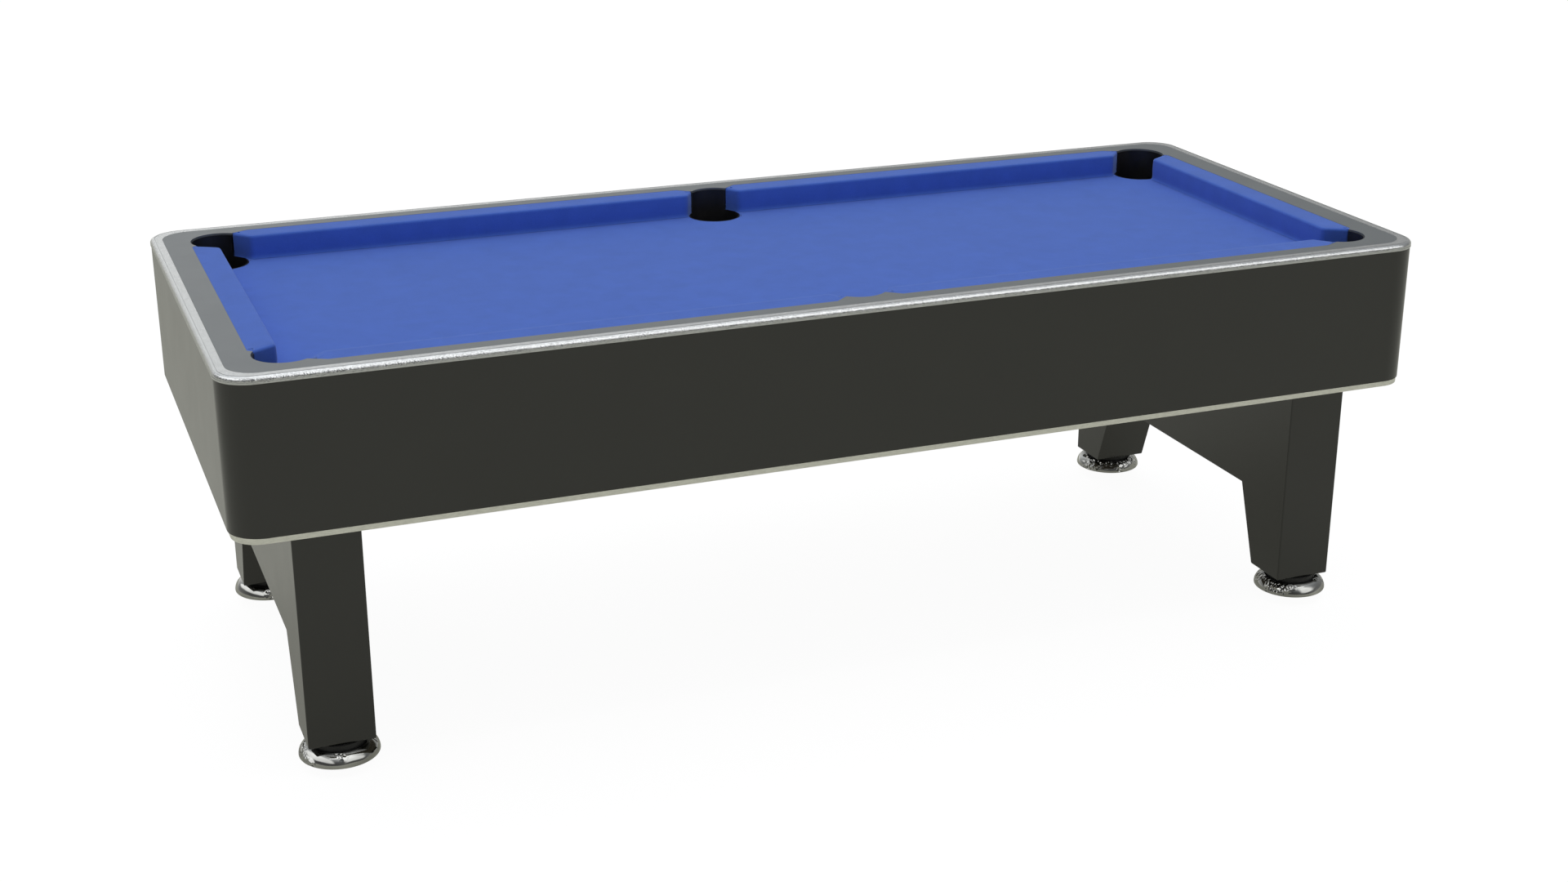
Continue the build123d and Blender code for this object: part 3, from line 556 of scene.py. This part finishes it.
def cushion_piece(node):
    """Cloth drawn over a rubber cushion: rolled nose, soft top and a foot that flares on the bed."""
    low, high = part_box(node)
    across = 0 if high.x - low.x < high.y - low.y else 1
    rail_sign = 1.0 if high[across] > -low[across] else -1.0
    outline = top_outline(node)
    outline = soften(outline, CUSHION_CORNER, CUSHION_CORNER_STEPS)
    outline = densify(outline, CUSHION_STEP)
    levels = cushion_levels(low.z, high.z)
    rows = []
    for p, inward in zip(outline, inward_normals(outline)):
        # 1 where an outline point faces the playing area, -1 where it faces the rail
        facing = inward[across] * rail_sign
        rows.append((p, inward, max(0.0, facing), -facing > RAIL_SIDE))
    points = []
    for z, flare, inset, bulge in levels:
        for p, inward, towards, on_rail in rows:
            out = flare * FLARE * towards**3 + bulge * FACE_BULGE * towards
            spot = p + inward * ((0.0 if on_rail else inset) - out)
            points.append((spot.x, spot.y, min(z, high.z) if on_rail else z))
    count = len(outline)
    rings = [list(range(k * count, (k + 1) * count)) for k in range(len(levels))]
    faces = [face for pair in zip(rings, rings[1:]) for face in ring_faces(*pair)]
    faces += [tuple(reversed(rings[0])), tuple(rings[-1])]
    return new_piece(f"{node}_cloth", points, faces, MATERIALS["cloth"])


cushion_nodes = [f"cushion_{side}_{end}" for side in SIDES for end in ENDS]
cushion_nodes += [f"cushion_{end}_end" for end in ENDS]
for node in cushion_nodes:
    cushion = cushion_piece(node)
    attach(cushion, "table")
    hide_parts(node)

# ---------------------------------------------------------------- bed cloth
_, bed_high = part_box("bed_cloth")


def pocket_centre(name):
    """The plan centre and outer radius of a pocket sleeve, from its liner below the bed."""
    node = f"pocket_liner_{name}"
    low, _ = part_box(node)
    ring = [v.co for v in frame["nodes"][node].data.vertices if v.co.z < low.z + LEVEL_GAP]
    xs, ys = [c.x for c in ring], [c.y for c in ring]
    centre = Vector(((min(xs) + max(xs)) / 2, (min(ys) + max(ys)) / 2))
    return centre, (max(xs) - min(xs)) / 2


POCKETS = [pocket_centre(f"{side}_{place}") for side in SIDES for place in POCKET_PLACES]


def on_circle(centre, radius, angle):
    """The point of a plan circle at an angle from +X."""
    return centre + radius * Vector((math.cos(angle), math.sin(angle)))


def mouth_circle(centre, radius):
    return [on_circle(centre, radius, 2 * math.pi * k / MOUTH_STEPS) for k in range(MOUTH_STEPS)]


def bed_outline():
    """The sheet's rounded rectangle, counter-clockwise."""
    outline = []
    for quarter, (sx, sy) in enumerate(((1, 1), (-1, 1), (-1, -1), (1, -1))):
        centre = Vector((sx * (bed_high.x - BED_CORNER), sy * (bed_high.y - BED_CORNER)))
        for k in range(BED_CORNER_STEPS + 1):
            angle = (quarter + k / BED_CORNER_STEPS) * math.pi / 2
            outline.append(on_circle(centre, BED_CORNER, angle))
    return outline


def inside(p, outline):
    """Whether a point lies inside a convex counter-clockwise outline."""
    edges = zip(outline, outline[1:] + outline[:1])
    return all((b - a).cross(p - a) > -EDGE_GAP for a, b in edges)


def nearest(points, target):
    """The number of the point nearest to target."""
    return min(range(len(points)), key=lambda i: (Vector(points[i]) - target).length_squared)


def bed_cloth_piece():
    """One stretched sheet with six pocket cuts, its edges turned down round each sleeve."""
    mouth_reach = MOUTH_FOLD[0][0]
    outline = bed_outline()
    spots = list(outline)
    rings = [list(range(len(outline)))]
    for centre, radius in POCKETS:
        start = len(spots)
        spots += mouth_circle(centre, radius + mouth_reach)
        rings.append(list(range(start, len(spots))))
    edges = [(a, b) for ring in rings for a, b in zip(ring, ring[1:] + ring[:1])]
    flat, _, triangles, _, _, _ = delaunay_2d_cdt(spots, edges, [], 0, MERGE_GAP)
    faces = []
    for triangle in triangles:
        middle = sum((Vector(flat[i]) for i in triangle), Vector((0.0, 0.0))) / len(triangle)
        on_cloth = all((middle - c).length > r + mouth_reach / 2 for c, r in POCKETS)
        if on_cloth and inside(middle, outline):
            faces.append(tuple(triangle))
    points = [(p[0], p[1], bed_high.z) for p in flat]
    for (centre, radius), ring in zip(POCKETS, rings[1:]):
        upper = [nearest(flat, spots[i]) for i in ring]
        for out, down in MOUTH_FOLD[1:]:
            start = len(points)
            points += [(p.x, p.y, bed_high.z - down) for p in mouth_circle(centre, radius + out)]
            lower = list(range(start, len(points)))
            faces += [tuple(reversed(face)) for face in ring_faces(upper, lower)]
            upper = lower
    return new_piece("bed_cloth_sheet", points, faces, MATERIALS["cloth"])


bed = bed_cloth_piece()
thick = bed.modifiers.new("thickness", "SOLIDIFY")
thick.thickness = SHEET_THICKNESS
thick.offset = -1
bpy.context.view_layer.objects.active = bed
bpy.ops.object.modifier_apply(modifier=thick.name)
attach(bed, "table")
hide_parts("bed_cloth")

# ---------------------------------------------------------------- floor
floor_corners = ((-1, -1), (1, -1), (1, 1), (-1, 1))
floor_mesh = bpy.data.meshes.new("floor")
floor_mesh.from_pydata(
    [(sx * HALF_FLOOR, sy * HALF_FLOOR, 0) for sx, sy in floor_corners], [], [(0, 1, 2, 3)]
)
floor = bpy.data.objects.new("floor", floor_mesh)
floor.location.z = CAD_BOX[0].z - FOOT_TRAVEL - FLOOR_GAP
bpy.context.scene.collection.objects.link(floor)

floor_look = Look("floor_pale")
floor_seen = floor_look.add("ShaderNodeBsdfPrincipled")
for shader, base, glow, strength in (
    (floor_look.shader, (0.35, 0.35, 0.315), (1.0, 1.0, 0.87), 0.265),
    (floor_seen, grey(0.12), grey(1.0), 0.95),
):
    floor_look.set(
        shader,
        Base_Color=(*base, 1.0),
        Roughness=0.9,
        Specular_IOR_Level=0.0,
        Emission_Color=(*glow, 1.0),
        Emission_Strength=strength,
    )
floor_look.seen_or_lit(
    seen=floor_seen.outputs["BSDF"],
    lit=floor_look.shader.outputs["BSDF"],
    surface=floor_look.tree.nodes["Material Output"].inputs["Surface"],
)
floor_mesh.materials.append(floor_look.material)


# ---------------------------------------------------------------- lights
def area_light(name, place, target, size, power):
    """A rectangular lamp aimed at a point; size in metres, power in watts."""
    data = bpy.data.lights.new(name, "AREA")
    data.shape = "RECTANGLE"
    data.size, data.size_y = size
    data.energy = power
    lamp = bpy.data.objects.new(name, data)
    lamp.location = place
    aim = Vector(target) - Vector(place)
    lamp.rotation_euler = aim.to_track_quat("-Z", "Y").to_euler()
    bpy.context.scene.collection.objects.link(lamp)


area_light("key_above", (-0.2, 0.9, 3.4), target=(0, 0, 0.8), size=(2.6, 1.6), power=5.0)
area_light("strip_above", (0.0, -1.25, 3.4), target=(0, -0.5, 0.8), size=(5.2, 0.30), power=8.0)


# ---------------------------------------------------------------- surroundings
class Sky(Graph):
    """The world's shader tree, with ramps along the axes of the direction."""

    def __init__(self, world):
        world.use_nodes = True
        super().__init__(world.node_tree)
        self.direction = self.add("ShaderNodeSeparateXYZ")
        place = self.add("ShaderNodeTexCoord").outputs["Generated"]
        self.join(place, self.direction.inputs["Vector"])

    def along(self, axis, stops):
        """Colours along one axis of the direction, from -1 to 1. A plain number is a grey."""
        share = self.add("ShaderNodeMapRange")
        self.set(share, From_Min=-1.0)
        self.join(self.direction.outputs[axis], share.inputs["Value"])
        coloured = [
            ((spot + 1) / 2, tone if isinstance(tone, tuple) else grey(tone))
            for spot, tone in stops
        ]
        return self.ramp(share.outputs["Result"], coloured)


world = bpy.data.worlds.new("studio")
bpy.context.scene.world = world
sky = Sky(world)
around = sky.combine(
    "MULTIPLY", sky.along("Z", SKY_HEIGHT), sky.along("X", SKY_X), sky.along("Y", SKY_Y)
)
front_card = sky.combine(
    "MULTIPLY",
    sky.along("Z", FRONT_CARD_HEIGHT),
    sky.along("Y", FRONT_CARD_Y),
    sky.along("X", FRONT_CARD_X),
)
left_card = sky.combine(
    "MULTIPLY", sky.along("Z", LEFT_CARD_HEIGHT), sky.along("X", LEFT_CARD_X)
)
fill = sky.combine("MULTIPLY", sky.along("Z", FILL_HEIGHT), sky.along("Y", FILL_Y))
ray = sky.add("ShaderNodeLightPath").outputs
gloss_only = sky.combine(
    "MULTIPLY", sky.combine("ADD", front_card, left_card), ray["Is Glossy Ray"]
)
diffuse_only = sky.combine("MULTIPLY", fill, ray["Is Diffuse Ray"])
lit = sky.tree.nodes["Background"]
sky.join(sky.combine("ADD", around, gloss_only, diffuse_only), lit.inputs["Color"])
seen = sky.add("ShaderNodeBackground")
sky.set(seen, Color=(*grey(1.0), 1.0))
sky.seen_or_lit(
    seen=seen.outputs["Background"],
    lit=lit.outputs["Background"],
    surface=sky.tree.nodes["World Output"].inputs["Surface"],
)

# ---------------------------------------------------------------- camera
camera_data = bpy.data.cameras.new("camera")
camera_data.lens = CAMERA_LENS
camera_data.sensor_width = CAMERA_SENSOR
camera = bpy.data.objects.new("camera", camera_data)
camera.location = CAMERA_PLACE
camera.rotation_euler = (math.pi / 2 - CAMERA_PITCH, 0.0, -CAMERA_YAW)
bpy.context.scene.collection.objects.link(camera)
bpy.context.scene.camera = camera
bpy.context.scene.view_settings.view_transform = "Standard"
